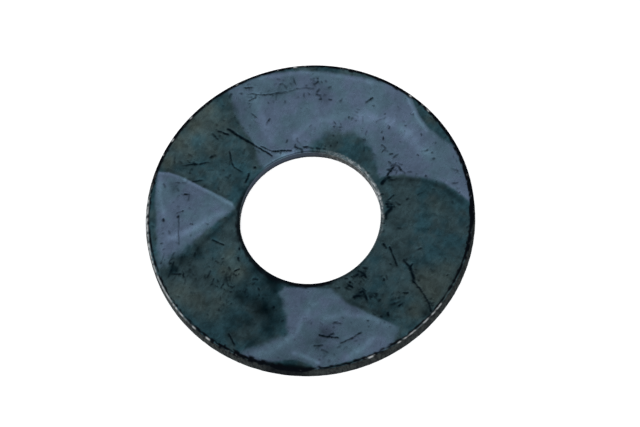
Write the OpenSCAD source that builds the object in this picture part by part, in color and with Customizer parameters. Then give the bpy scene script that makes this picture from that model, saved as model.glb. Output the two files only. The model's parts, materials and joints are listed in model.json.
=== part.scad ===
// Flat washer, stamped from thin steel sheet.
// The origin is the centre of the hole at the underside, and +Z is the hole's axis.
// The underside is flat. The sheet has kinked a little in stamping, so the top face is
// a ring of very shallow flats that meet in creases.

/* [Size] */
// Outside diameter
outer_d = 21; // [18:0.5:24]
// Diameter of the hole, for an 8 mm bolt with clearance
hole_d = 9; // [8.5:0.1:10]
// Thickness at the highest part of the top face
thickness = 1; // [0.8:0.1:2]

/* [Edges] */
// Radius of the edges that the punch and die rolled over on the top face
roll_r = 0.2; // [0.1:0.05:0.3]

/* [Top face] */
// Depth of the deepest crease below the highest part
relief = 0.12; // [0.04:0.01:0.15]

/* [Hidden] */
// Facets of a full circle
$fn = 180;

outer_r = outer_d / 2;
hole_r = hole_d / 2;
// Each crease is a straight line from the hole's edge to the rim, as
// [angle at the hole, depth at the hole, angle at the rim, depth at the rim].
// Angles are in degrees from +X, and depths are shares of the relief. Four creases are
// ridges that pass full thickness (a depth below zero) at the rim, where the sheet's own
// face is left as a small level patch. A flat part laid on top rests on those four patches.
creases = [
    [ 20, 0.8,  -8,  0.9],
    [ 50, 0.8,  35,  0.4],
    [ 75, 0.8,  75, -0.1],
    [121, 1.0, 111,  0.7],
    [161, 0.8, 151, -0.1],
    [163, 0.8, 188,  0.8],
    [205, 0.7, 210,  0.5],
    [238, 0.6, 235, -0.1],
    [256, 0.5, 256,  0.7],
    [276, 0.4, 298, -0.1],
    [320, 0.6, 325,  0.5],
];
// How far each crease carries on past its two ends, as a share of its length,
// so that the flats between the creases cover the whole washer
overrun = 0.12;

function edge_point(r, angle, depth) =
    [r * cos(angle), r * sin(angle), thickness - relief * depth];
function hole_end(crease) = edge_point(hole_r, crease[0], crease[1]);
function rim_end(crease) = edge_point(outer_r, crease[2], crease[3]);
function on_crease(crease, share) =
    hole_end(crease) + share * (rim_end(crease) - hole_end(crease));

// A section through one side: a strip with its two top corners rounded.
module section() {
    width = outer_r - hole_r;
    translate([hole_r, 0]) {
        square([width, thickness - roll_r]);
        translate([roll_r, 0]) square([width - 2 * roll_r, thickness]);
        for (x = [roll_r, width - roll_r])
            translate([x, thickness - roll_r]) circle(roll_r);
    }
}

// The washer as it would be with a flat top face.
module blank() {
    rotate_extrude() section();
}

// A block whose top is the creased surface. It reaches below the washer and past its rim.
module creased_block() {
    n = len(creases);
    base_z = -thickness;
    inner = [for (c = creases) on_crease(c, -overrun)];
    outer = [for (c = creases) on_crease(c, 1 + overrun)];
    base = [for (p = outer) [p[0], p[1], base_z]];
    points = concat(inner, outer, base, [[0, 0, thickness - relief], [0, 0, base_z]]);
    top_centre = 3 * n;
    base_centre = 3 * n + 1;
    faces = [
        for (i = [0 : n - 1])
            let (j = (i + 1) % n)
            each [
                [top_centre, j, i],
                [i, j, n + j],
                [i, n + j, n + i],
                [n + i, n + j, 2 * n + j, 2 * n + i],
                [2 * n + i, 2 * n + j, base_centre],
            ],
    ];
    polyhedron(points, faces);
}

// The washer: the blank, cut down to the creased surface.
module washer() {
    color("darkslategray")
        intersection() {
            blank();
            creased_block();
        }
}

washer();
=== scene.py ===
import json
import math

import bpy
import numpy as np
from mathutils import Matrix, Vector
from mathutils.bvhtree import BVHTree


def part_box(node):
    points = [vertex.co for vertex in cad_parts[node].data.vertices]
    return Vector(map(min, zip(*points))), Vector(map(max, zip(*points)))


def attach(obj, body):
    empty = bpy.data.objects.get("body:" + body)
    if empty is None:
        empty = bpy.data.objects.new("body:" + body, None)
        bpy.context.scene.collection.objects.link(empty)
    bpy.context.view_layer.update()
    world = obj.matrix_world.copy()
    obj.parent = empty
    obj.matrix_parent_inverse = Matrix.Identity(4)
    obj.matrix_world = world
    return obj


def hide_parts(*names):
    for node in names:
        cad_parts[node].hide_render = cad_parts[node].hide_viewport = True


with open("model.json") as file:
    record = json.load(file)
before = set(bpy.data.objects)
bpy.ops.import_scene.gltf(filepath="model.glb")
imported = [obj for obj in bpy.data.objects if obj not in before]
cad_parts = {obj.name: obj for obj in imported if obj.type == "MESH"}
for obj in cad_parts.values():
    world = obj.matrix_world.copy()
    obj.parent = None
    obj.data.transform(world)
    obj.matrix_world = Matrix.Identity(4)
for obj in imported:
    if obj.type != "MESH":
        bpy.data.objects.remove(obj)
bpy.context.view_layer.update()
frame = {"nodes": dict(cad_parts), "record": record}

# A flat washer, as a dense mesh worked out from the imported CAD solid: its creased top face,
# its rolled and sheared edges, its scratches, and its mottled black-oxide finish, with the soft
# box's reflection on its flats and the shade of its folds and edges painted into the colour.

MM = 0.001

# ---- Sizes, from the frame -------------------------------------------------------------

mounts = {mount["name"]: mount for mount in frame["record"]["mounts"]}
node_low, node_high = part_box("washer")
hole_r = mounts["hole"]["dims"]["r_mm"] * MM
wall_top = mounts["hole"]["dims"]["length_mm"] * MM
outer_r = node_high.x
thickness = node_high.z
roll_r = thickness - wall_top

# ---- Mesh density ----------------------------------------------------------------------

AZIMUTH_STEPS = 880
TOP_STEPS = 84
ROLL_STEPS = 7
WALL_STEPS = 5
UNDERSIDE_STEPS = 3

# ---- Relief ----------------------------------------------------------------------------

CREASE_SOFTENING = 0.20 * MM
FACE_WAVINESS = 0.0012 * MM
# A tiny step in the face along the borders of the painted reflection
REFLECTION_BORDER_STEP = 0.002 * MM
SCRATCH_DEPTH = 0.009 * MM
TEAR_BELOW_ROLL = 0.20 * MM
TEAR_WAVINESS = 0.06 * MM
TEAR_LENGTH = 0.12 * MM
WALL_FOOT = 0.03 * MM
UNDERSIDE_INSET = 0.07 * MM
UNDERSIDE_HOLLOW = 0.003 * MM
# Share of the outer rolled edge, from the face down, that still has the face's film and painted
# reflection
ROLL_FILM_END = 0.2

# ---- The face's own features -----------------------------------------------------------
# Places are [angle in degrees from +X, radius as a share of the outside radius]. They were
# picked on the photograph. Most were turned into angles and shares, rounded to half a degree
# and 0.005, by a program. Many were then moved.

# Flats where the soft box's reflection is painted into the colour as a lighter, bluer tone. Each
# corner's third value is how soft the side that starts there is, in millimetres.
REFLECTION_FLATS = {
    "left": [
        (150.5, 0.98, 0.06), (149.5, 0.92, 0.04), (149.5, 0.845, 0.04), (152.5, 0.62, 0.05),
        (156, 0.49, 0.08), (160.5, 0.465, 0.12), (169, 0.545, 0.10), (174, 0.61, 0.12),
        (178.5, 0.68, 0.22), (183, 0.785, 0.40), (187.5, 0.96, 0.30), (180, 0.945, 0.14),
        (168, 0.935, 0.12), (161, 0.955, 0.08),
    ],
    "near": [
        (233.5, 0.98, 0.25), (243, 0.84, 0.22), (249.5, 0.77, 0.22), (247, 0.66, 0.18),
        (243, 0.57, 0.14), (239, 0.52, 0.12), (241, 0.475, 0.10), (262, 0.46, 0.10),
        (276, 0.49, 0.18), (279, 0.55, 0.15), (281, 0.61, 0.12), (287, 0.69, 0.08),
        (293.5, 0.83, 0.10), (296, 0.90, 0.22), (292, 0.965, 0.22), (287, 1.00, 0.06),
        (262, 0.99, 0.08), (260.5, 0.96, 0.10), (255, 0.925, 0.09), (250, 0.935, 0.12),
        (246, 0.96, 0.12), (240, 1.00, 0.10),
    ],
    "far": [
        (110.5, 1.00, 0.25), (111, 0.89, 0.26), (113, 0.81, 0.20), (114, 0.70, 0.12),
        (114.5, 0.60, 0.12), (117, 0.53, 0.24), (120, 0.47, 0.26), (121, 0.42, 0.20),
        (100, 0.39, 0.10), (82, 0.42, 0.30), (78, 0.50, 0.36), (71, 0.545, 0.38),
        (61.5, 0.59, 0.36), (50, 0.61, 0.30), (40, 0.585, 0.24), (29, 0.525, 0.18),
        (20, 0.49, 0.12), (18.5, 0.54, 0.12), (14.5, 0.63, 0.18), (9, 0.74, 0.16),
        (4, 0.84, 0.12), (357, 0.935, 0.08), (353.5, 0.985, 0.06), (355, 1.02, 0.10),
        (14, 1.02, 0.15), (18, 0.965, 0.14), (23, 0.935, 0.10), (28, 0.915, 0.05),
        (34, 0.93, 0.05), (41, 0.985, 0.06), (46, 1.00, 0.08), (54, 0.975, 0.10),
        (60.5, 0.96, 0.09), (72, 0.955, 0.09), (83, 0.965, 0.10), (96, 0.985, 0.12),
    ],
}
# Painted highlights along ridges, and painted shade along folds with a strength below zero:
# places along the line, half width in millimetres, strength
RIDGE_HIGHLIGHTS_AND_FOLD_SHADE = [
    ([(151, 0.97), (150, 0.915), (150, 0.80)], 0.11, 0.35),
    ([(150.5, 0.80), (153.5, 0.62), (158, 0.485)], 0.12, 0.62),
    ([(177, 0.86), (176, 0.775), (171.5, 0.66), (164, 0.53)], 0.24, 0.38),
    ([(152.5, 0.955), (160, 0.925), (168, 0.885)], 0.15, 0.28),
    ([(148.5, 0.93), (149, 0.84), (151.5, 0.61), (154, 0.53)], 0.12, -0.22),
    ([(165, 0.46), (173, 0.53), (179, 0.61), (184.5, 0.71)], 0.16, -0.35),
    ([(102, 0.88), (104, 0.73), (104, 0.565)], 0.28, 0.32),
    ([(106, 0.46), (97, 0.455), (89, 0.455)], 0.11, 0.60),
    ([(90, 0.535), (82.5, 0.595), (72, 0.64), (61, 0.69)], 0.24, 0.24),
    ([(55, 0.715), (50, 0.74), (43.5, 0.775), (33.5, 0.80), (24.5, 0.79), (19, 0.82)], 0.38, 0.38),
    ([(41.5, 0.965), (34, 0.91), (27.5, 0.895)], 0.11, 0.58),
    ([(54, 0.955), (60.5, 0.94), (72, 0.935), (83, 0.95), (98, 0.965)], 0.11, 0.24),
    ([(5.5, 0.825), (359, 0.915), (356, 0.965)], 0.10, 0.16),
    ([(15.5, 0.535), (11.5, 0.63), (6.5, 0.74), (1, 0.84), (354.5, 0.925)], 0.20, -0.46),
    ([(261, 0.56), (257, 0.65), (252.5, 0.77), (245.5, 0.88), (240, 0.935)], 0.24, 0.28),
    ([(268, 0.665), (279.5, 0.675), (288.5, 0.765), (292.5, 0.85)], 0.19, 0.30),
    ([(253.5, 0.885), (258, 0.905), (262.5, 0.945)], 0.15, 0.50),
    ([(274, 0.94), (280, 0.915), (285, 0.885)], 0.22, 0.42),
    ([(283, 0.60), (288.5, 0.68), (295, 0.81)], 0.14, -0.30),
    ([(236, 0.985), (247, 0.975), (260, 0.985)], 0.16, -0.60),
]
# Paler and darker patches, partly random tone in the film and partly painted highlight and
# shade, darker ones with a strength below zero: place, reach in millimetres, strength
TONE_AND_SHADE_PATCHES = [
    (33, 0.86, 0.90, 0.22), (93, 0.85, 0.45, -0.24), (86.5, 0.90, 0.40, -0.22),
    (76.5, 0.84, 0.45, -0.24), (73, 0.79, 0.45, -0.28), (82, 0.74, 0.40, -0.18),
    (25.5, 0.54, 0.50, -0.20), (57, 0.94, 0.25, 0.30), (82, 0.955, 0.30, 0.25),
    (109, 0.86, 0.50, -0.18), (98, 0.72, 0.80, 0.14), (155, 0.855, 0.35, -0.32),
    (157.5, 0.77, 0.35, -0.28), (166.5, 0.81, 0.30, -0.26), (175, 0.70, 0.60, 0.14),
    (267.5, 0.755, 0.40, -0.34), (263, 0.82, 0.32, -0.28), (267, 0.87, 0.40, -0.20),
    (263, 0.63, 0.70, 0.18), (242, 0.60, 0.35, -0.16), (265, 0.78, 2.20, -0.20),
    (240, 0.75, 3.20, -0.12), (233, 0.66, 0.90, -0.40), (60, 0.80, 4.00, 0.12),
    (120, 0.93, 0.90, 0.52), (132, 0.88, 0.90, 0.58), (143, 0.65, 0.55, 0.42),
    (141, 0.95, 0.60, 0.35), (125, 0.70, 0.90, 0.36), (140, 0.78, 0.60, 0.20),
    (188, 0.54, 0.45, 0.42), (198, 0.55, 0.55, 0.38), (207, 0.55, 0.40, 0.42),
    (208, 0.755, 0.50, 0.35), (202, 0.90, 0.70, 0.22), (8.5, 0.51, 0.30, 0.42),
    (337, 0.475, 0.30, 0.38), (341.5, 0.93, 0.30, 0.30), (130, 0.50, 0.50, 0.45),
    (345, 0.65, 0.80, 0.15), (220, 0.66, 0.45, -0.40), (227.5, 0.89, 0.35, -0.45),
    (225, 0.80, 0.60, -0.20), (188.5, 0.795, 0.50, -0.46), (186.5, 0.71, 0.38, -0.46),
    (295.5, 0.76, 0.45, -0.40), (307.5, 0.95, 0.28, -0.65), (335, 0.905, 0.28, -0.42),
    (357.5, 0.83, 0.30, -0.34), (291, 0.60, 0.36, -0.35), (299, 0.475, 0.30, -0.35),
    (287, 0.51, 0.25, -0.45), (285, 0.66, 0.45, -0.24), (283, 0.80, 1.20, -0.16),
    (255, 0.98, 0.90, -0.25), (230, 0.46, 0.50, -0.35), (215, 0.45, 0.40, -0.30),
]
# Near-black stains, with painted shade along the hole's edge from about 215 to 250 degrees, and
# brown stains in the film: place, reach in millimetres, strength
DEEP_STAINS_AND_SHADE = [
    (234.5, 0.64, 0.66, 0.97), (240.5, 0.765, 0.62, 0.92), (230, 0.77, 0.50, 0.75),
    (236.5, 0.88, 0.40, 0.70), (241, 0.69, 0.50, 0.70),
    (226, 0.64, 0.50, 0.60), (220, 0.67, 0.40, 0.40), (227.5, 0.465, 0.45, 0.80),
    (232, 0.46, 0.60, 0.95), (250, 0.45, 0.40, 0.75), (215, 0.45, 0.42, 0.65),
    (235, 0.53, 0.40, 0.70), (190.5, 0.89, 0.36, 0.88), (187, 0.81, 0.45, 0.40),
    (192, 0.93, 0.45, 0.40), (291, 0.60, 0.34, 0.35),
    (299, 0.475, 0.28, 0.40), (146, 0.46, 0.28, 0.45), (355, 0.475, 0.24, 0.60),
    (252, 0.965, 0.36, 0.75), (244, 0.975, 0.28, 0.60), (62, 0.53, 0.40, 0.20),
    (38, 0.50, 0.35, 0.25),
]
WARM_STAINS = [
    (120, 0.955, 0.60, 0.75), (128, 0.955, 0.80, 0.90), (137, 0.95, 0.60, 0.75),
    (146, 0.95, 0.50, 0.80), (122, 0.84, 0.80, 0.50), (132, 0.74, 0.80, 0.40),
    (139, 0.84, 0.60, 0.45), (318, 0.82, 0.90, 0.70),
    (327, 0.91, 0.70, 0.60), (200, 0.935, 0.80, 0.60),
    (206, 0.87, 0.80, 0.60), (215, 0.83, 0.80, 0.50), (209, 0.55, 0.70, 0.75),
    (203, 0.62, 0.70, 0.70), (213, 0.72, 0.80, 0.45), (195, 0.54, 0.50, 0.65),
    (314, 0.93, 0.90, 0.80),
    (305, 0.89, 0.70, 0.70), (322, 0.94, 0.70, 0.50), (354, 0.78, 0.70, 0.45),
    (300, 0.70, 0.50, 0.30), (30, 0.955, 0.30, 0.50),
]
# Scratches: places along the line, half width in millimetres, strength
SCRATCHES = [
    # The long scratch beside the hole, and the ragged crack that runs on from it
    ([(120, 0.775), (118, 0.69), (116, 0.63)], 0.13, 1.0),
    ([(116, 0.63), (109, 0.47)], 0.09, 1.0),
    ([(112, 0.565), (110, 0.54), (107.5, 0.495)], 0.06, 0.6),
    ([(107.5, 0.495), (102, 0.48)], 0.09, 0.9),
    ([(101.5, 0.48), (94, 0.455)], 0.095, 1.0),
    ([(91, 0.475), (86, 0.45)], 0.10, 1.0),
    ([(84.5, 0.465), (82, 0.465), (77, 0.455)], 0.08, 0.9),
    ([(74.5, 0.455), (72, 0.455)], 0.08, 0.8),
    ([(69.5, 0.455), (68, 0.45)], 0.08, 0.7),
    # Between the left and the far flats
    ([(127.5, 0.66), (130, 0.63), (133, 0.585)], 0.08, 0.8),
    ([(133, 0.585), (133, 0.52)], 0.07, 0.7),
    ([(145, 0.85), (142, 0.795)], 0.075, 0.8),
    ([(142, 0.795), (141.5, 0.78)], 0.12, 1.0),
    ([(141, 0.765), (138.5, 0.725)], 0.085, 0.8),
    ([(135.5, 0.73), (133.5, 0.715)], 0.12, 0.7),
    ([(139, 0.86), (139.5, 0.83)], 0.08, 0.7),
    ([(143.5, 0.88), (144, 0.865)], 0.08, 0.6),
    ([(141.5, 0.93), (144, 0.92)], 0.08, 0.5),
    ([(137, 0.91), (137, 0.90)], 0.20, 0.4),
    ([(138, 0.62), (138, 0.615)], 0.09, 0.7),
    ([(131, 0.475), (138, 0.46)], 0.10, 1.0),
    ([(124, 0.475), (125, 0.48)], 0.10, 0.9),
    ([(123.5, 0.805), (121.5, 0.745)], 0.09, 0.9),
    ([(126, 0.82), (126.5, 0.775)], 0.08, 0.7),
    ([(150, 0.755), (148, 0.705)], 0.11, 0.7),
    # On the far flat
    ([(103, 0.895), (98.5, 0.855), (93, 0.84), (89, 0.835)], 0.06, 0.75),
    ([(89, 0.835), (85, 0.85), (78, 0.845)], 0.06, 0.5),
    ([(94, 0.845), (93, 0.845)], 0.11, 1.0),
    ([(94, 0.835), (94.5, 0.805)], 0.07, 0.6),
    ([(86, 0.92), (85.5, 0.88)], 0.07, 0.6),
    ([(72, 0.855), (71, 0.86)], 0.09, 0.8),
    ([(75.5, 0.77), (74.5, 0.775)], 0.09, 0.8),
    ([(71, 0.775), (70, 0.775)], 0.09, 0.8),
    ([(77, 0.81), (75, 0.80)], 0.07, 0.7),
    ([(80.5, 0.815), (80, 0.805)], 0.08, 0.6),
    ([(104.5, 0.95), (102, 0.93)], 0.075, 0.8),
    ([(105.5, 0.86), (102.5, 0.86)], 0.055, 0.7),
    ([(78, 0.87), (76.5, 0.89)], 0.09, 0.8),
    ([(76.5, 0.81), (74.5, 0.775)], 0.07, 0.5),
    ([(107, 0.78), (106, 0.74)], 0.06, 0.6),
    ([(53.5, 0.86), (55, 0.82)], 0.09, 1.0),
    ([(44, 0.79), (46.5, 0.735)], 0.06, 0.4),
    # On the left flat, and the slanted strokes at its near end
    ([(167.5, 0.80), (174, 0.80), (180.5, 0.81)], 0.055, 0.6),
    ([(157, 0.785), (156.5, 0.755)], 0.08, 0.8),
    ([(156.5, 0.755), (159.5, 0.75)], 0.07, 0.7),
    ([(166, 0.81), (165, 0.775)], 0.06, 0.7),
    ([(152.5, 0.85), (152.5, 0.835)], 0.07, 0.6),
    ([(152, 0.815), (151.5, 0.80)], 0.07, 0.5),
    ([(154.5, 0.92), (155.5, 0.91)], 0.07, 0.5),
    ([(155, 0.835), (156, 0.825)], 0.08, 0.5),
    ([(174, 0.86), (175, 0.86)], 0.07, 0.6),
    ([(169, 0.89), (169.5, 0.89)], 0.12, 1.0),
    ([(167.5, 0.80), (168, 0.805)], 0.11, 1.0),
    ([(182, 0.605), (187, 0.55)], 0.075, 1.0),
    ([(186.5, 0.945), (183, 0.91)], 0.08, 0.6),
    ([(187.5, 0.905), (183.5, 0.845)], 0.07, 0.5),
    ([(192.5, 0.93), (187.5, 0.87)], 0.11, 0.60),
    ([(192, 0.905), (193.5, 0.86)], 0.10, 0.80),
    ([(191.5, 0.875), (188.5, 0.835), (186.5, 0.81)], 0.09, 0.55),
    ([(194.5, 0.915), (193.5, 0.89)], 0.08, 0.6),
    ([(188, 0.74), (186.5, 0.73)], 0.10, 0.7),
    ([(198, 0.865), (196.5, 0.85)], 0.07, 0.6),
    # Short strokes on the dark ground below the left flat
    ([(198.5, 0.69), (200.5, 0.725)], 0.09, 0.7),
    ([(192, 0.635), (193, 0.64)], 0.07, 0.7),
    ([(194.5, 0.63), (196.5, 0.62)], 0.07, 0.6),
    ([(197, 0.595), (198, 0.61)], 0.06, 0.6),
    ([(202, 0.58), (203.5, 0.58)], 0.08, 0.8),
    ([(206, 0.57), (206.5, 0.54)], 0.07, 0.9),
    ([(207.5, 0.585), (209, 0.58)], 0.08, 0.8),
    ([(204, 0.605), (205.5, 0.64)], 0.12, 0.5),
    ([(204.5, 0.725), (203, 0.695)], 0.07, 0.6),
    ([(206.5, 0.65), (208, 0.64)], 0.12, 0.6),
    ([(209, 0.65), (211, 0.655)], 0.07, 0.5),
    ([(199.5, 0.505), (201.5, 0.505)], 0.10, 0.9),
    ([(193, 0.465), (194.5, 0.47)], 0.08, 0.9),
    ([(218.5, 0.52), (221, 0.51)], 0.09, 0.8),
    ([(225, 0.55), (226, 0.555)], 0.08, 0.8),
    ([(206.5, 0.715), (207.5, 0.71)], 0.07, 0.7),
    # By the near flat, and on it
    ([(226.5, 0.895), (230.5, 0.935)], 0.085, 1.0),
    ([(239, 0.615), (239, 0.62)], 0.10, 1.0),
    ([(235.5, 0.645), (235.5, 0.65)], 0.09, 0.9),
    ([(264, 0.77), (272, 0.805)], 0.09, 1.0),
    ([(268, 0.785), (270.5, 0.77)], 0.075, 0.9),
    ([(272.5, 0.845), (276, 0.835), (282, 0.82)], 0.07, 0.9),
    ([(261.5, 0.835), (265, 0.835)], 0.08, 0.9),
    ([(264.5, 0.865), (266.5, 0.885)], 0.10, 0.6),
    ([(271, 0.705), (275, 0.72)], 0.065, 0.6),
    # Dark spots between the near flat and the hole
    ([(287.5, 0.46), (289, 0.465)], 0.10, 0.9),
    ([(292.5, 0.465), (293, 0.48)], 0.08, 0.8),
    ([(294.5, 0.475), (297.5, 0.48)], 0.14, 0.9),
    ([(299.5, 0.465), (300.5, 0.49)], 0.09, 0.9),
    ([(298.5, 0.50), (301, 0.505)], 0.11, 0.8),
    ([(301, 0.495), (300.5, 0.525)], 0.12, 1.0),
    ([(289.5, 0.49), (289.5, 0.495)], 0.11, 0.9),
    ([(284.5, 0.51), (287, 0.51)], 0.08, 0.7),
    ([(287.5, 0.505), (289, 0.53)], 0.12, 1.0),
    ([(278, 0.49), (281, 0.495)], 0.09, 0.7),
    ([(287, 0.59), (289.5, 0.60)], 0.17, 1.0),
    ([(289.5, 0.585), (293, 0.585)], 0.13, 0.8),
    ([(293, 0.595), (292, 0.645)], 0.13, 0.8),
    ([(290.5, 0.605), (292, 0.605)], 0.10, 0.7),
    ([(296.5, 0.66), (296.5, 0.685)], 0.09, 0.6),
    ([(304, 0.47), (305, 0.485)], 0.12, 0.8),
    ([(300, 0.765), (301.5, 0.77)], 0.11, 0.7),
    ([(298, 0.65), (297.5, 0.66)], 0.12, 1.0),
    ([(296, 0.63), (296, 0.635)], 0.09, 0.7),
    ([(296.5, 0.695), (297.5, 0.695)], 0.10, 0.7),
    ([(307, 0.61), (306.5, 0.615)], 0.12, 0.8),
    ([(296.5, 0.795), (296, 0.805)], 0.13, 1.0),
    ([(293, 0.785), (293.5, 0.79)], 0.10, 0.9),
    ([(304, 0.805), (302, 0.80)], 0.09, 0.8),
    # The scratch and the long crack on the right
    ([(327, 0.485), (325.5, 0.505)], 0.13, 1.0),
    ([(327, 0.525), (318, 0.62)], 0.085, 1.0),
    ([(322.5, 0.64), (320.5, 0.695)], 0.13, 0.9),
    ([(320.5, 0.695), (317.5, 0.74), (315, 0.765)], 0.17, 0.9),
    ([(320.5, 0.695), (322.5, 0.70)], 0.08, 0.8),
    ([(315, 0.765), (313.5, 0.835), (311.5, 0.905), (309, 0.97)], 0.09, 1.0),
    # The branching cracks that start at the hole's right side
    ([(15.5, 0.485), (17, 0.51)], 0.18, 1.0),
    ([(17, 0.51), (17, 0.54)], 0.16, 1.0),
    ([(15.5, 0.54), (14.5, 0.555)], 0.08, 0.7),
    ([(19, 0.535), (20, 0.55)], 0.12, 0.9),
    ([(20, 0.55), (20.5, 0.575)], 0.11, 0.9),
    ([(21.5, 0.565), (21.5, 0.60)], 0.12, 0.9),
    ([(23, 0.59), (22, 0.615)], 0.09, 0.8),
    ([(22, 0.61), (23, 0.625)], 0.08, 0.7),
    ([(22, 0.615), (20.5, 0.625)], 0.09, 0.8),
    ([(20.5, 0.625), (18, 0.63)], 0.12, 0.9),
    ([(17.5, 0.63), (15, 0.64)], 0.07, 0.5),
    ([(22, 0.635), (20, 0.65)], 0.07, 0.6),
    ([(26.5, 0.635), (26.5, 0.665)], 0.10, 0.8),
    ([(26, 0.595), (24, 0.60)], 0.07, 0.6),
    ([(29.5, 0.63), (28.5, 0.645)], 0.08, 0.7),
    ([(36.5, 0.635), (35.5, 0.64)], 0.08, 0.7),
    ([(35.5, 0.64), (33.5, 0.635)], 0.08, 0.7),
    ([(33, 0.625), (31.5, 0.63)], 0.07, 0.6),
    ([(33.5, 0.605), (33.5, 0.62)], 0.07, 0.6),
    ([(20.5, 0.815), (20.5, 0.83)], 0.08, 0.6),
    ([(15.5, 0.83), (15.5, 0.84)], 0.10, 0.7),
    ([(8, 0.45), (7.5, 0.465)], 0.09, 0.9),
    ([(1, 0.475), (0, 0.49)], 0.09, 0.8),
    ([(359, 0.47), (358.5, 0.495)], 0.12, 1.0),
    ([(357, 0.475), (356, 0.50)], 0.12, 1.0),
    ([(350.5, 0.46), (354.5, 0.495)], 0.19, 1.0),
    ([(351.5, 0.465), (347.5, 0.46)], 0.14, 1.0),
    ([(345.5, 0.455), (343.5, 0.45)], 0.08, 0.7),
    ([(358, 0.48), (358, 0.50)], 0.09, 0.8),
    ([(2, 0.485), (4, 0.525)], 0.08, 0.8),
    ([(359, 0.53), (357.5, 0.55)], 0.11, 0.7),
    ([(359.5, 0.595), (0, 0.605)], 0.10, 0.9),
]
# Clusters of pits: place, reach in millimetres, how many
PIT_CLUSTERS = [
    (299, 0.50, 0.45, 26), (289, 0.52, 0.30, 12), (291, 0.60, 0.45, 22), (296, 0.64, 0.35, 12),
    (78, 0.87, 0.45, 16), (57, 0.70, 0.35, 10),
    (90, 0.88, 0.60, 14), (104, 0.88, 0.60, 10), (214, 0.72, 0.80, 16), (206, 0.60, 0.60, 14),
    (194, 0.80, 0.60, 14), (312, 0.93, 0.40, 10), (265, 0.90, 0.60, 10), (208, 0.68, 0.60, 14),
    (64, 0.62, 0.30, 8), (20, 0.58, 0.45, 30), (358, 0.49, 0.25, 10),
    (88, 0.47, 0.50, 10), (70, 0.455, 0.50, 10), (143, 0.80, 0.50, 12), (210, 0.62, 0.80, 16),
    (188, 0.88, 0.40, 12), (220, 0.60, 0.60, 14), (124, 0.79, 0.40, 8), (303, 0.77, 0.60, 12),
]
LOOSE_PITS = 340

# ---- The edges' own features ----------------------------------------------------------
# Each table is [angle in degrees, value] stops round the ring, read and then adjusted after
# renders. Distances over an edge are shares of the rolled edge: 0 where the face ends, 1 where
# the wall starts, and below 0 back on the face.

# The black line along the rim, painted shade standing in for dark surroundings seen in the
# rolled edge: how far it reaches back onto the face, and how far down
RIM_LINE_UP = [
    (0, 0.50), (8, 0.50), (15, 0.35), (20, 0.15), (24, 0.05), (39, 0.08), (42, 0.35), (60, 0.15),
    (110, 0.10), (128, 0.28), (150, 0.28), (165, 0.40), (182, 0.45), (200, 0.32), (212, 0.25),
    (224, 0.50), (245, 0.48), (262, 0.32), (275, 0.40), (288, 0.48), (302, 0.42), (318, 0.45),
    (328, 0.58), (338, 0.72), (352, 0.68),
]
RIM_LINE_DOWN = [
    (0, 1.5), (148, 1.5), (158, 0.12), (180, 0.10), (222, 0.16), (228, 0.30), (245, 0.30), (248, 1.0),
    (258, 1.0), (262, 0.22), (285, 0.30), (300, 0.26), (318, 0.24), (332, 0.35), (350, 0.60), (356, 1.5),
]
# The bright worn line below it: how worn, its middle, and its half width
RIM_WEAR = [
    (148, 0.05), (156, 0.45), (165, 0.70), (176, 0.75), (182, 0.95), (212, 0.95), (216, 0.42),
    (222, 0.30), (228, 0.12), (248, 0.0), (272, 0.0), (280, 0.20), (282, 0.45), (284, 0.10),
    (292, 0.10), (296, 0.95), (312, 0.95), (315, 0.10), (330, 0.0),
]
RIM_WEAR_DROP = [(150, 0.50), (178, 0.45), (210, 0.34), (240, 0.28), (290, 0.26), (314, 0.20)]
RIM_WEAR_WIDTH = [(150, 0.50), (176, 0.50), (184, 0.26), (212, 0.24), (290, 0.20), (314, 0.18)]
# The outer wall's painted light and shade, a brightness about 1 that is highest from about 180
# to 205 degrees, and how blackened it is
RIM_WALL_SHADING = [
    (0, 1.0), (150, 1.2), (182, 1.7), (205, 1.6), (216, 1.1), (240, 0.95), (262, 0.9), (300, 0.85),
    (330, 0.8), (350, 0.7),
]
RIM_WALL_DARK = [(240, 0.0), (246, 0.75), (257, 0.75), (262, 0.0)]
# The black line round the hole, painted shade in its rolled edge: how far it reaches back onto
# the face, and its strength
HOLE_LINE_UP = [
    (118, -0.8), (135, -0.1), (152, 0.2), (160, 0.4), (168, 0.1), (178, 0.5), (200, 0.3), (214, 0.7),
    (228, 1.0), (238, 0.7), (245, 0.6), (256, 0.7), (266, 0.6), (276, 0.4), (284, 0.0),
    (300, 0.0), (315, -0.4), (330, -0.8),
]
HOLE_LINE_STRENGTH = [
    (112, 0.0), (130, 0.45), (150, 0.85), (180, 0.95), (238, 0.9), (244, 1.0), (276, 1.0),
    (286, 0.6), (300, 0.55), (316, 0.15), (335, 0.0),
]
# The hole's edge and wall: how worn, and how far the painted blue reflection covers the wall
HOLE_WEAR = [
    (0, 1.0), (18, 0.95), (30, 0.65), (55, 0.45), (72, 0.10), (85, 0.0), (320, 0.0), (335, 0.30),
    (352, 0.95),
]
HOLE_WALL_REFLECTION = [(62, 0.0), (76, 0.6), (92, 1.0), (130, 1.0), (150, 0.6), (168, 0.0)]
# Bright nicks worn through the film on the rim: angle, length in millimetres
RIM_NICKS = [
    (33, 0.08), (41.5, 0.08), (85, 0.14), (127, 0.10), (137.5, 0.14), (166, 0.25), (172, 0.30),
    (221, 0.20), (281.5, 0.20),
]


# ---- Small tools for working on arrays of points ---------------------------------------

def smooth_step(low, high, value):
    """0 at low and 1 at high, a soft S between them, and held beyond; low may be the greater."""
    share = np.clip((value - low) / (high - low), 0.0, 1.0)
    return share * share * (3.0 - 2.0 * share)


def place(angle_deg, share):
    """The plan position of a place on the face."""
    angle = math.radians(angle_deg)
    return np.array([math.cos(angle), math.sin(angle)]) * share * outer_r


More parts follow.
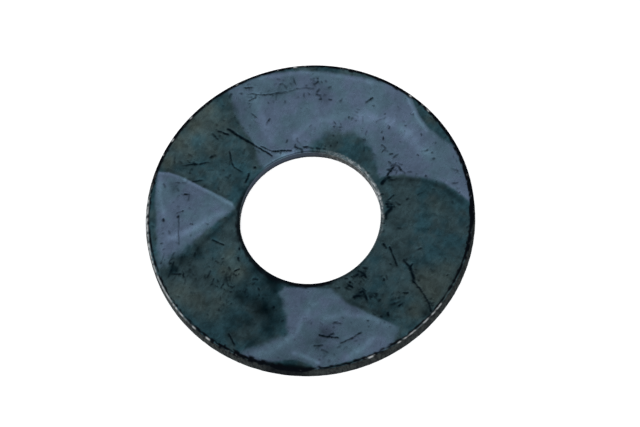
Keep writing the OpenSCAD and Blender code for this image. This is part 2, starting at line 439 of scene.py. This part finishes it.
def distance_to_line(x, y, start, end):
    """Distance of each point from a straight line between two ends."""
    along = end - start
    share = ((x - start[0]) * along[0] + (y - start[1]) * along[1]) / (along @ along)
    share = np.clip(share, 0.0, 1.0)
    return np.hypot(x - start[0] - share * along[0], y - start[1] - share * along[1])


def distance_to_path(x, y, places):
    """Distance of each point from a line through several places."""
    points = [place(*spot) for spot in places]
    legs = [distance_to_line(x, y, *leg) for leg in zip(points, points[1:])]
    return np.minimum.reduce(legs)


def cell_noise(u, v, seed, period=256):
    """Smooth random values from -1 to 1, one cell per unit; u repeats after period cells."""
    lattice = np.random.default_rng(seed).uniform(-1.0, 1.0, (period, 256))
    iu, iv = np.floor(u).astype(int), np.floor(v).astype(int)
    fu, fv = smooth_step(0.0, 1.0, u - iu), smooth_step(0.0, 1.0, v - iv)

    def corner(du, dv):
        return lattice[(iu + du) % period, (iv + dv) % 256]

    low = corner(0, 0) * (1 - fu) + corner(1, 0) * fu
    high = corner(0, 1) * (1 - fu) + corner(1, 1) * fu
    return low * (1 - fv) + high * fv


def layered_noise(x, y, size, seed, layers=3):
    """Noise of about size metres, with finer layers of half the size and strength on it."""
    total = np.zeros(np.broadcast(x, y).shape)
    for layer in range(layers):
        scale = 2**layer
        total += cell_noise(x / size * scale, y / size * scale, seed + layer) / scale
    return total


# ---- The top face ----------------------------------------------------------------------

azimuth = np.arange(AZIMUTH_STEPS) * 2.0 * math.pi / AZIMUTH_STEPS


def cad_heights(radii):
    """The CAD solid's top surface at each radius and azimuth, by rays from above."""
    cad = frame["nodes"]["washer"].data
    tree = BVHTree.FromPolygons(
        [vertex.co.copy() for vertex in cad.vertices],
        [list(face.vertices) for face in cad.polygons],
    )
    down = Vector((0, 0, -1))
    heights = np.empty((len(radii), AZIMUTH_STEPS))
    for row, radius in enumerate(radii):
        for column, angle in enumerate(azimuth):
            above = Vector((radius * math.cos(angle), radius * math.sin(angle), 2 * thickness))
            heights[row, column] = tree.ray_cast(above, down)[0].z
    return heights


def soften(heights, radii, reach):
    """Rounds the creases off over about reach metres, around the ring and then across it."""
    turns = np.arange(AZIMUTH_STEPS // 2 + 1)
    fade = np.exp(-0.5 * (turns[None, :] * reach / radii[:, None]) ** 2)
    heights = np.fft.irfft(np.fft.rfft(heights, axis=1) * fade, AZIMUTH_STEPS, axis=1)
    step = radii[1] - radii[0]
    taps = int(3 * reach / step)
    weights = np.exp(-0.5 * (np.arange(-taps, taps + 1) * step / reach) ** 2)
    weights /= weights.sum()
    padded = np.pad(heights, ((taps, taps), (0, 0)), mode="reflect", reflect_type="odd")
    return sum(weight * padded[shift:shift + len(radii)] for shift, weight in enumerate(weights))


def flat_cover(x, y, corners):
    """How far each point lies on a flat, from 0 to 1, with each side as soft as it says."""
    points = [place(angle, share) for angle, share, _ in corners]
    nearest = np.full(x.shape, np.inf)
    inside = np.zeros(x.shape, bool)
    softness = np.zeros(x.shape)
    weights = np.zeros(x.shape)
    for (_, _, soft), start, end in zip(corners, points, points[1:] + points[:1]):
        away = distance_to_line(x, y, start, end)
        nearest = np.minimum(nearest, away)
        weight = (away / MM + 0.03) ** -4
        softness += soft * MM * weight
        weights += weight
        crosses = (start[1] > y) != (end[1] > y)
        rise = end[1] - start[1]
        x_there = start[0] + (y - start[1]) * (end[0] - start[0]) / (rise or 1.0)
        inside ^= crosses & (x < x_there)
    softness /= weights
    depth = np.where(inside, nearest, -nearest)
    depth += 0.35 * softness * layered_noise(x, y, 0.35 * MM, 11)
    return smooth_step(-softness, softness, depth)


def painted_reflection(x, y):
    """How far each point has the painted reflection of the soft box, from 0 to 1."""
    return np.maximum.reduce([flat_cover(x, y, corners) for corners in REFLECTION_FLATS.values()])


def blots(x, y, patches, seed):
    """Soft blots with uneven edges, one by one, each with its strength."""
    wander_x = 0.16 * MM * layered_noise(x, y, 0.6 * MM, seed)
    wander_y = 0.16 * MM * layered_noise(x, y, 0.6 * MM, seed + 5)
    for angle, share, reach, strength in patches:
        at_x, at_y = place(angle, share)
        away = np.hypot(x + wander_x - at_x, y + wander_y - at_y) / (reach * MM)
        yield strength * np.exp(-(away**2))


def film_tone_and_shading(x, y):
    """The film's brightness, about 1: slow drifts, patches, painted ridge highlights and fold shade."""
    tone_and_shading = 1.0 + 0.08 * layered_noise(x, y, 1.3 * MM, 71)
    for blot in blots(x, y, TONE_AND_SHADE_PATCHES, 77):
        tone_and_shading += blot
    ragged = 1.0 + 0.35 * layered_noise(x, y, 0.4 * MM, 75, 2)
    for places, width, strength in RIDGE_HIGHLIGHTS_AND_FOLD_SHADE:
        away = distance_to_path(x, y, places)
        tone_and_shading += strength * ragged * np.exp(-((away / (width * MM)) ** 2))
    return np.maximum(tone_and_shading, 0.15)


def blot_cover(x, y, stains, seed):
    """How far each point is covered by the blots, from 0 to 1."""
    clear = np.ones(x.shape)
    for blot in blots(x, y, stains, seed):
        clear *= 1.0 - blot
    return 1.0 - clear


def scattered_pits():
    """Short dashes and pits, in clusters and loose: two ends, half width in metres, strength."""
    rng = np.random.default_rng(81)
    spots = []
    for angle, share, reach, count in PIT_CLUSTERS:
        spots += [place(angle, share) + rng.normal(0, 0.5 * reach * MM, 2) for _ in range(count)]
    for _ in range(LOOSE_PITS):
        share = math.sqrt(rng.uniform((hole_r / outer_r) ** 2, 1.0))
        spots.append(place(rng.uniform(0, 360), share))
    for spot in spots:
        turn = rng.uniform(0, math.pi)
        half = min(0.5 * rng.exponential(0.09 * MM) + 0.01 * MM, 0.14 * MM)
        reach = half * np.array([math.cos(turn), math.sin(turn)])
        half_width = rng.uniform(0.055, 0.095) * MM
        yield spot - reach, spot + reach, half_width, 0.2 + 0.7 * rng.uniform()**1.5


def scratch_marks(x, y):
    """How scratched or pitted each point is, from 0 to 1."""
    rough = 0.9 + 0.4 * cell_noise(x / (0.16 * MM), y / (0.16 * MM), 21)
    x = x + 0.03 * MM * layered_noise(x, y, 0.25 * MM, 22, 2)
    y = y + 0.03 * MM * layered_noise(x, y, 0.25 * MM, 25, 2)
    marks = np.zeros(x.shape)
    for places, width, strength in SCRATCHES:
        away = distance_to_path(x, y, places) / (width * MM)
        marks = np.maximum(marks, 1.2 * strength * (1.0 - smooth_step(0.3, 1.0, away)))
    for start, end, width, strength in scattered_pits():
        away = distance_to_line(x, y, start, end) / width
        marks = np.maximum(marks, strength * (1.0 - smooth_step(0.3, 1.0, away)))
    return np.clip(marks * rough, 0.0, 1.0)


top_radii = np.linspace(hole_r + roll_r, outer_r - roll_r, TOP_STEPS + 1)
top_x = top_radii[:, None] * np.cos(azimuth)[None, :]
top_y = top_radii[:, None] * np.sin(azimuth)[None, :]
face_masks = {
    "painted_reflection": painted_reflection(top_x, top_y),
    "tone_and_shading": film_tone_and_shading(top_x, top_y),
    "deep": blot_cover(top_x, top_y, DEEP_STAINS_AND_SHADE, 91),
    "warm": blot_cover(top_x, top_y, WARM_STAINS, 101),
    "scratch": scratch_marks(top_x, top_y),
}
top_z = soften(cad_heights(top_radii), top_radii, CREASE_SOFTENING)
top_z += FACE_WAVINESS * layered_noise(top_x, top_y, 1.6 * MM, 31)
# The face steps along the painted reflection's borders and sinks into the scratches
top_z += REFLECTION_BORDER_STEP * (face_masks["painted_reflection"] - 1.0) - SCRATCH_DEPTH * face_masks["scratch"]
top_z = np.minimum(top_z, thickness)


# ---- The edges -------------------------------------------------------------------------

def arc(start, end, fade=8.0):
    """1 for azimuths from start to end degrees, fading out over fade degrees beyond them."""
    half = (end - start) / 2
    away = np.abs((np.degrees(azimuth) - start - half + 180) % 360 - 180) - half
    return 1.0 - smooth_step(0.0, fade, away)


def ring_noise(cells, row, seed):
    """Noise around a ring, with a whole number of cells, at one row down the edge."""
    return cell_noise(azimuth * cells / (2 * math.pi), np.full(AZIMUTH_STEPS, row), seed, cells)


def band(value, middle, half_width):
    """1 at the middle, falling to 0 half a width either side."""
    return 1.0 - smooth_step(0.0, 1.0, np.abs(value - middle) / half_width)


def around(stops):
    """A value at each azimuth, from [angle, value] stops in order round the ring."""
    angles, values = zip(*stops)
    return np.interp(np.degrees(azimuth), angles, values, period=360)


def worn_through(wear, row, seed):
    """Where the film is worn through: everywhere for a wear of 1, in broken bits below that."""
    kept = 0.5 + 0.5 * ring_noise(300, row, seed) + 0.25 * ring_noise(700, 2 * row, seed + 1)
    return smooth_step(-0.12, 0.12, wear - kept)


rim_nicks = np.zeros(AZIMUTH_STEPS)
for nick_angle, nick_length in RIM_NICKS:
    half_angle = math.degrees(0.5 * nick_length * MM / outer_r)
    rim_nicks = np.maximum(rim_nicks, arc(nick_angle - half_angle, nick_angle + half_angle, 0.5))


def rim_masks(drop):
    """Black masks of painted shade and burnished masks near the rim; drop is 0 at the face's end and 1
    at the wall.
    """
    uneven = drop + 0.24 * ring_noise(330, 3 * drop, 111) + 0.14 * ring_noise(90, 2 * drop, 112)
    black_and_shade = smooth_step(-0.14, 0.14, uneven + around(RIM_LINE_UP))
    black_and_shade *= 1.0 - smooth_step(-0.12, 0.12, uneven - around(RIM_LINE_DOWN))
    dashes = arc(224, 250) * smooth_step(-0.1, 0.3, ring_noise(310, drop, 119))
    black_and_shade = np.maximum(black_and_shade, dashes * smooth_step(1.1, 0.6, np.abs(drop + 0.2)))
    speckle = np.clip(0.6 + 0.9 * ring_noise(420, 3 * drop, 117), 0.1, 1.0)
    line = band(drop, around(RIM_WEAR_DROP), around(RIM_WEAR_WIDTH))
    worn = speckle * worn_through(around(RIM_WEAR), 2 * drop, 115) * line
    nicked = 0.9 * rim_nicks * band(drop, 0.30, 0.28)
    return {"edge_black_and_shade": black_and_shade, "burnish": np.maximum(worn, nicked)}


def hole_masks(drop):
    """The same masks near the hole's edge."""
    uneven = drop + 0.30 * ring_noise(150, 3 * drop, 121) + 0.15 * ring_noise(50, drop, 122)
    black_and_shade = around(HOLE_LINE_STRENGTH) * smooth_step(-0.5, 0.5, uneven + around(HOLE_LINE_UP))
    specks = smooth_step(0.0, 0.8, ring_noise(170, 4 * drop, 125) + ring_noise(400, 8 * drop, 126))
    worn = around(HOLE_WEAR) * (0.22 + 0.78 * specks)
    # A line of painted shade along the far side of the hole's rolled edge
    fold_line = 0.7 * arc(68, 116, 6) * band(drop + 0.1 * ring_noise(60, 0, 123), 0.55, 0.25)
    black_and_shade = np.maximum(black_and_shade, fold_line)
    return {"edge_black_and_shade": black_and_shade, "burnish": 0.75 * worn * smooth_step(-0.3, 0.3, drop)}


# Each ring is one closed circle of points: radius and height at each azimuth, the surface's
# masks there, and whether it is on a wall. They run up the hole's wall, out over the top
# face, down the outer wall and back under the washer.
MASKS = ("painted_reflection", "tone_and_shading", "deep", "warm", "scratch", "edge_black_and_shade", "burnish")
rings = []


def add_ring(radius, height, masks, is_wall=False):
    """Adds the next ring; a mask that isn't given is 0, and the tone and shading is 1."""
    values = {name: 1.0 if name == "tone_and_shading" else 0.0 for name in MASKS}
    values.update(masks, radius=radius, height=height)
    round_the_ring = {name: np.broadcast_to(given, AZIMUTH_STEPS) for name, given in values.items()}
    rings.append((round_the_ring, is_wall))


def row_masks(row):
    """The face's masks along one of its rows."""
    return {name: mask[row] for name, mask in face_masks.items()}


def fractured(radius, height, outward, seed):
    """The radius round a sheared wall: smooth near the top, torn back and rough lower down."""
    tear_line = wall_top - TEAR_BELOW_ROLL + TEAR_WAVINESS * ring_noise(60, 0, seed)
    torn = smooth_step(0.0, TEAR_LENGTH, tear_line - height)
    streaks = ring_noise(420, height / (0.5 * MM), seed + 1)
    pits = ring_noise(300, height / (0.2 * MM), seed + 2)
    back = torn * (0.012 + 0.005 * streaks + 0.004 * pits) * MM
    return radius - outward * back


def outer_wall_masks():
    """The outer wall's painted light and shade, and its blackened stretch."""
    return {"tone_and_shading": around(RIM_WALL_SHADING), "edge_black_and_shade": around(RIM_WALL_DARK)}


def hole_wall_masks(height):
    """The hole's wall: part painted blue reflection, a painted shade line at its foot, and worn specks.
    """
    specks = smooth_step(0.1, 0.8, ring_noise(200, height / (0.15 * MM), 131))
    # Painted shade at the wall's foot
    foot_line = smooth_step(0.40 * wall_top, 0.05 * wall_top, height)
    return {
        "painted_reflection": around(HOLE_WALL_REFLECTION),
        "edge_black_and_shade": 0.9 * foot_line,
        "burnish": 0.5 * around(HOLE_WEAR) * (0.25 + 0.75 * specks),
    }


def add_wall(radius, outward, heights, seed):
    """A sheared wall's rings in turn; outward is 1 for the outer wall and -1 for the hole's."""
    for height in heights:
        masks = outer_wall_masks() if outward > 0 else hole_wall_masks(height)
        add_ring(fractured(radius, height, outward, seed), height, masks, is_wall=True)


QUARTER_TURN = 0.5 * math.pi
wall_heights = np.linspace(WALL_FOOT, wall_top, WALL_STEPS + 1)
roll_turns = np.linspace(0, QUARTER_TURN, ROLL_STEPS + 1)[1:-1]


def add_hole_edge():
    """Up the hole's wall and out over its rolled edge."""
    add_wall(hole_r, -1, wall_heights, 41)
    for turn in roll_turns:
        height = wall_top + (top_z[0] - wall_top) * math.sin(turn)
        masks = {**row_masks(0), **hole_masks(1 - turn / QUARTER_TURN)}
        add_ring(hole_r + roll_r * (1 - math.cos(turn)), height, masks)


def add_face():
    """Across the top face; near its ends the edges' masks reach onto it."""
    for row, radius in enumerate(top_radii):
        to_hole, to_rim = radius - top_radii[0], top_radii[-1] - radius
        masks = row_masks(row)
        if to_hole < 2 * roll_r:
            masks.update(hole_masks(-to_hole / roll_r))
        if to_rim < 2 * roll_r:
            masks.update(rim_masks(-to_rim / roll_r))
        add_ring(radius, top_z[row], masks)


def add_rim_edge():
    """Over the outer rolled edge and down the outer wall."""
    for turn in roll_turns:
        drop = turn / QUARTER_TURN
        is_wall = drop > ROLL_FILM_END
        height = wall_top + (top_z[-1] - wall_top) * math.cos(turn)
        masks = {**row_masks(-1), **rim_masks(drop)}
        masks["painted_reflection"] = masks["painted_reflection"] * (1.0 - smooth_step(0.0, ROLL_FILM_END, drop))
        if is_wall:
            # Painted light and shade round the outer wall
            masks["tone_and_shading"] = around(RIM_WALL_SHADING)
            masks["edge_black_and_shade"] = np.maximum(masks["edge_black_and_shade"], around(RIM_WALL_DARK))
        add_ring(outer_r - roll_r * (1 - math.sin(turn)), height, masks, is_wall)
    add_wall(outer_r, 1, wall_heights[::-1], 51)


def add_underside():
    """Back under the washer, a little hollow between the two edges that it lies on."""
    inner, outer = hole_r + UNDERSIDE_INSET, outer_r - UNDERSIDE_INSET
    for row, radius in enumerate(np.linspace(outer, inner, UNDERSIDE_STEPS + 1)):
        x, y = radius * np.cos(azimuth), radius * np.sin(azimuth)
        touches = row in (0, UNDERSIDE_STEPS)
        rise = 0.0 if touches else UNDERSIDE_HOLLOW * (1 + layered_noise(x, y, 2 * MM, 61, 1))
        stain = np.clip(0.3 + 0.5 * layered_noise(x, y, 3 * MM, 63, 1), 0.0, 1.0)
        add_ring(radius, rise, {"warm": stain})


add_hole_edge()
add_face()
add_rim_edge()
add_underside()


# ---- The mesh --------------------------------------------------------------------------

def build_washer():
    """One closed mesh from the rings, with the masks as point attributes."""
    radius, height = (np.array([ring[name] for ring, _ in rings]) for name in ("radius", "height"))
    points = np.stack([radius * np.cos(azimuth), radius * np.sin(azimuth), height], axis=-1)
    ring_start = np.arange(len(rings))[:, None] * AZIMUTH_STEPS
    next_start = np.roll(ring_start, -1, axis=0)
    step = np.arange(AZIMUTH_STEPS)[None, :]
    next_step = np.roll(step, -1, axis=1)
    corners = [ring_start + step, next_start + step, next_start + next_step, ring_start + next_step]
    quads = np.stack(corners, axis=-1).reshape(-1, 4)
    mesh = bpy.data.meshes.new("washer_visual")
    mesh.from_pydata(points.reshape(-1, 3).tolist(), [], quads.tolist())
    walls = np.array([is_wall for _, is_wall in rings])
    slots = np.repeat(walls & np.roll(walls, -1), AZIMUTH_STEPS).astype(np.int32)
    mesh.polygons.foreach_set("material_index", slots)
    mesh.polygons.foreach_set("use_smooth", np.ones(len(mesh.polygons), bool))
    for name in MASKS:
        values = np.array([ring[name] for ring, _ in rings], np.float32)
        mesh.attributes.new(name, "FLOAT", "POINT").data.foreach_set("value", values.reshape(-1))
    mesh.update()
    washer = bpy.data.objects.new("washer_body", mesh)
    bpy.context.scene.collection.objects.link(washer)
    return washer


# ---- Materials -------------------------------------------------------------------------

# The mix node's colour sockets share their names with its other kinds, so they go by number.
MIX_COLOUR_A = 6
MIX_COLOUR_B = 7
MIX_COLOUR_RESULT = 2


class Shader:
    """A material's node tree, with short calls for the nodes used here."""

    def __init__(self, name):
        self.material = bpy.data.materials.new(name)
        self.material.use_nodes = True
        self.tree = self.material.node_tree
        self.surface = self.tree.nodes["Principled BSDF"]
        self.surface.inputs["Specular IOR Level"].default_value = 0.0
        self.place = self.tree.nodes.new("ShaderNodeTexCoord").outputs["Object"]

    def connect(self, value, socket):
        """Links another node's socket to this one, or sets a plain value on it."""
        if isinstance(value, bpy.types.NodeSocket):
            self.tree.links.new(value, socket)
        else:
            socket.default_value = value

    def noise(self, size, detail=4.0, roughness=0.55, distortion=0.0, stretch=(1, 1, 1), turn=0.0):
        """Noise from 0 to 1 with features of about size metres, stretched along turned axes."""
        turned = self.tree.nodes.new("ShaderNodeMapping")
        turned.vector_type = "TEXTURE"
        self.connect(self.place, turned.inputs["Vector"])
        turned.inputs["Rotation"].default_value = (0.0, 0.0, turn)
        turned.inputs["Scale"].default_value = stretch
        node = self.tree.nodes.new("ShaderNodeTexNoise")
        self.connect(turned.outputs["Vector"], node.inputs["Vector"])
        node.inputs["Scale"].default_value = 1.0 / size
        node.inputs["Detail"].default_value = detail
        node.inputs["Roughness"].default_value = roughness
        node.inputs["Distortion"].default_value = distortion
        return node.outputs["Fac"]

    def attribute(self, name):
        """One of the masks stored on the mesh."""
        node = self.tree.nodes.new("ShaderNodeAttribute")
        node.attribute_name = name
        return node.outputs["Fac"]

    def span(self, value, low, high, to_low=0.0, to_high=1.0):
        """Maps low..high to to_low..to_high, and holds the ends."""
        node = self.tree.nodes.new("ShaderNodeMapRange")
        node.interpolation_type = "SMOOTHSTEP"
        self.connect(value, node.inputs["Value"])
        node.inputs["From Min"].default_value = low
        node.inputs["From Max"].default_value = high
        node.inputs["To Min"].default_value = to_low
        node.inputs["To Max"].default_value = to_high
        return node.outputs["Result"]

    def mix(self, factor, a, b, blend="MIX"):
        """Mixes or blends colour b over colour a."""
        node = self.tree.nodes.new("ShaderNodeMix")
        node.data_type = "RGBA"
        node.blend_type = blend
        self.connect(factor, node.inputs["Factor"])
        self.connect(a, node.inputs[MIX_COLOUR_A])
        self.connect(b, node.inputs[MIX_COLOUR_B])
        return node.outputs[MIX_COLOUR_RESULT]

    def finish_edges(self, colour):
        """Blackens the edges with painted shade and burnishes them over a colour, and makes the result
        the base colour.
        """
        colour = self.mix(self.attribute("edge_black_and_shade"), colour, EDGE_BLACK_AND_SHADE)
        colour = self.mix(self.attribute("burnish"), colour, WORN_STEEL)
        self.connect(colour, self.surface.inputs["Base Color"])

    def bump(self, height, distance, normal=None):
        """A bent normal, on top of another where one is given."""
        node = self.tree.nodes.new("ShaderNodeBump")
        node.inputs["Distance"].default_value = distance
        self.connect(height, node.inputs["Height"])
        if normal is not None:
            self.connect(normal, node.inputs["Normal"])
        return node.outputs["Normal"]


def rgb(red, green, blue):
    """An opaque colour."""
    return (red, green, blue, 1.0)


# The edges' black: mostly painted shade in the rolled edges, and a blackened stretch of the outer wall
EDGE_BLACK_AND_SHADE = rgb(0.003, 0.004, 0.006)
WORN_STEEL = rgb(0.54, 0.56, 0.57)


def blackened_face():
    """The oxide film on the sheet: teal and olive ground with pits, and blue-grey flats of painted
    reflection.
    """
    film = Shader("blackened_face")
    teal = rgb(0.024, 0.062, 0.078)
    grey_green = rgb(0.037, 0.066, 0.075)
    brown = rgb(0.056, 0.073, 0.066)
    deep = rgb(0.003, 0.013, 0.018)
    # The colours of the soft box's painted reflection on the flats
    blue_reflection = rgb(0.090, 0.128, 0.190)
    teal_reflection = rgb(0.080, 0.134, 0.178)
    ink = rgb(0.002, 0.006, 0.010)
    ground = film.mix(film.span(film.noise(1.9 * MM, 3.0), 0.40, 0.60), teal, grey_green)
    ground = film.mix(film.attribute("warm"), ground, brown)
    # Near-black stains, and painted shade along the hole's edge from about 215 to 250 degrees
    ground = film.mix(film.attribute("deep"), ground, deep)
    # The painted reflection, mixed in over the flats
    light = film.mix(film.span(film.noise(1.4 * MM, 3.0), 0.38, 0.62), blue_reflection, teal_reflection)
    colour = film.mix(film.attribute("painted_reflection"), ground, light)
    # The tone multiplies in, with its painted highlights on ridges and painted shade in folds and
    # patches
    colour = film.mix(1.0, colour, film.attribute("tone_and_shading"), "MULTIPLY")
    clouds = film.noise(0.6 * MM, 4.0, 0.6, 0.5)
    on_ground = film.span(clouds, 0.25, 0.75, 0.66, 1.34)
    on_reflection = film.span(clouds, 0.25, 0.75, 0.88, 1.12)
    clouding = film.mix(film.attribute("painted_reflection"), on_ground, on_reflection)
    colour = film.mix(1.0, colour, clouding, "MULTIPLY")
    rubbed = film.noise(0.16 * MM, 3.0, 0.6, 0.4, (3.0, 1.0, 1.0), math.radians(50))
    rubbed_ground = film.span(rubbed, 0.30, 0.70, 0.88, 1.12)
    rubbed_reflection = film.span(rubbed, 0.30, 0.70, 0.95, 1.05)
    rubbing = film.mix(film.attribute("painted_reflection"), rubbed_ground, rubbed_reflection)
    colour = film.mix(1.0, colour, rubbing, "MULTIPLY")
    grain = film.noise(0.13 * MM, 4.0, 0.6)
    colour = film.mix(1.0, colour, film.span(grain, 0.25, 0.75, 0.92, 1.08), "MULTIPLY")
    pitted = film.span(film.noise(0.17 * MM, 2.0, 0.5, 0.8), 0.70, 0.76, 0.0, 0.6)
    colour = film.mix(pitted, colour, ink)
    colour = film.mix(film.attribute("scratch"), colour, ink)
    film.finish_edges(colour)
    film_gloss = film.span(film.noise(0.5 * MM, 4.0), 0.3, 0.7, 0.24, 0.34)
    roughness = film.mix(film.attribute("edge_black_and_shade"), film_gloss, rgb(0.6, 0.6, 0.6))
    film.connect(roughness, film.surface.inputs["Roughness"])
    metallic = film.span(film.attribute("edge_black_and_shade"), 0.2, 0.8, 1.0, 0.0)
    film.connect(metallic, film.surface.inputs["Metallic"])
    fine = film.bump(grain, 0.0012 * MM)
    film.connect(film.bump(pitted, -0.004 * MM, fine), film.surface.inputs["Normal"])
    return film.material


def sheared_wall():
    """The cut steel of the two walls: dark grey, streaked up and down, and rough, with painted
    reflection and shade.
    """
    steel = Shader("sheared_wall")
    dark_steel = rgb(0.014, 0.016, 0.018)
    pale_steel = rgb(0.045, 0.052, 0.051)
    blue_wall_reflection = rgb(0.048, 0.062, 0.086)
    streaks = steel.noise(0.14 * MM, 5.0, 0.7, 0.0, (1, 1, 4))
    colour = steel.mix(steel.span(streaks, 0.35, 0.65), dark_steel, pale_steel)
    # The painted blue reflection on part of the hole's wall
    colour = steel.mix(steel.attribute("painted_reflection"), colour, blue_wall_reflection)
    # Painted light and shade round the outer wall
    colour = steel.mix(1.0, colour, steel.attribute("tone_and_shading"), "MULTIPLY")
    steel.finish_edges(colour)
    steel.connect(steel.attribute("burnish"), steel.surface.inputs["Metallic"])
    steel.connect(steel.span(streaks, 0.3, 0.7, 0.45, 0.65), steel.surface.inputs["Roughness"])
    steel.connect(steel.bump(streaks, 0.004 * MM), steel.surface.inputs["Normal"])
    return steel.material


# ---- Studio ----------------------------------------------------------------------------

# The camera, fitted to the washer's outline in the photograph. The washer's centre is a
# little left of the picture's centre and a little below it.
VIEW_TILT = math.radians(22.1)
VIEW_ROLL = math.radians(-11.06)
VIEW_DISTANCE = 39.5 * 2 * outer_r
VIEW_WIDTH = 1.9415 * 2 * outer_r
AIM_RIGHT = 0.0273 * 2 * outer_r
AIM_UP = 0.0281 * 2 * outer_r
KEY_AZIMUTH = math.radians(75)
LIGHT_HEIGHT = 0.9
COOL_WHITE = (0.94, 0.97, 1.0)
WHITE = (1.0, 1.0, 1.0)


def add_camera():
    """A long lens 22 degrees off the washer's axis, rolled a little, as in the photograph."""
    data = bpy.data.cameras.new("camera")
    data.sensor_width = 36.0
    data.lens = data.sensor_width * VIEW_DISTANCE / VIEW_WIDTH
    data.clip_start = 0.1
    data.clip_end = 10.0
    camera = bpy.data.objects.new("camera", data)
    bpy.context.scene.collection.objects.link(camera)
    level_right = Vector((1, 0, 0))
    level_up = Vector((0, math.cos(VIEW_TILT), math.sin(VIEW_TILT)))
    back = Vector((0, -math.sin(VIEW_TILT), math.cos(VIEW_TILT)))
    right = math.cos(VIEW_ROLL) * level_right + math.sin(VIEW_ROLL) * level_up
    up = math.cos(VIEW_ROLL) * level_up - math.sin(VIEW_ROLL) * level_right
    aim = AIM_RIGHT * right + AIM_UP * up
    turned = Matrix((right, up, back)).transposed().to_4x4()
    camera.matrix_world = Matrix.Translation(aim + back * VIEW_DISTANCE) @ turned
    bpy.context.scene.camera = camera


def overhead_box(name, near_angle, far_angle, width, radiance, colour):
    """A level soft box over the washer, between two angles off the vertical towards KEY_AZIMUTH."""
    near, far = (LIGHT_HEIGHT * math.tan(math.radians(angle)) for angle in (near_angle, far_angle))
    data = bpy.data.lights.new(name, "AREA")
    data.shape = "RECTANGLE"
    data.size = width
    data.size_y = far - near
    data.energy = radiance * math.pi * data.size * data.size_y
    data.color = colour
    light = bpy.data.objects.new(name, data)
    toward = Vector((math.cos(KEY_AZIMUTH), math.sin(KEY_AZIMUTH), 0))
    light.location = toward * (near + far) / 2 + Vector((0, 0, LIGHT_HEIGHT))
    light.rotation_euler = (0, 0, KEY_AZIMUTH - math.pi / 2)
    bpy.context.scene.collection.objects.link(light)


def add_floor():
    """A pale floor that is lit from below as well, like a light table."""
    half = 1.5
    level = -0.02 * MM
    mesh = bpy.data.meshes.new("floor")
    corners = [(-half, -half, level), (half, -half, level), (half, half, level), (-half, half, level)]
    mesh.from_pydata(corners, [], [(0, 1, 2, 3)])
    floor = bpy.data.objects.new("floor", mesh)
    bpy.context.scene.collection.objects.link(floor)
    material = bpy.data.materials.new("pale_floor")
    material.use_nodes = True
    surface = material.node_tree.nodes["Principled BSDF"]
    surface.inputs["Base Color"].default_value = rgb(0.9, 0.9, 0.9)
    surface.inputs["Roughness"].default_value = 0.9
    surface.inputs["Emission Color"].default_value = rgb(1, 1, 1)
    surface.inputs["Emission Strength"].default_value = 0.6
    mesh.materials.append(material)


def add_room():
    """Surroundings that are pale at the horizon and dim overhead."""
    world = bpy.data.worlds.new("room")
    bpy.context.scene.world = world
    world.use_nodes = True
    tree = world.node_tree
    split = tree.nodes.new("ShaderNodeSeparateXYZ")
    direction = tree.nodes.new("ShaderNodeTexCoord").outputs["Generated"]
    tree.links.new(direction, split.inputs["Vector"])
    fade = tree.nodes.new("ShaderNodeMapRange")
    fade.interpolation_type = "SMOOTHSTEP"
    tree.links.new(split.outputs["Z"], fade.inputs["Value"])
    fade.inputs["From Min"].default_value = 0.10
    fade.inputs["From Max"].default_value = 0.60
    fade.inputs["To Min"].default_value = 1.0
    fade.inputs["To Max"].default_value = 0.20
    tree.links.new(fade.outputs["Result"], tree.nodes["Background"].inputs["Color"])


washer = build_washer()
washer.data.materials.append(blackened_face())
washer.data.materials.append(sheared_wall())
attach(washer, "root")
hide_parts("washer")
bpy.context.scene.view_settings.view_transform = "Standard"
add_camera()
add_floor()
add_room()
overhead_box("soft_box", near_angle=-55, far_angle=22, width=2.0, radiance=1.0, colour=COOL_WHITE)
overhead_box("far_box", near_angle=36, far_angle=58, width=2.0, radiance=0.8, colour=WHITE)
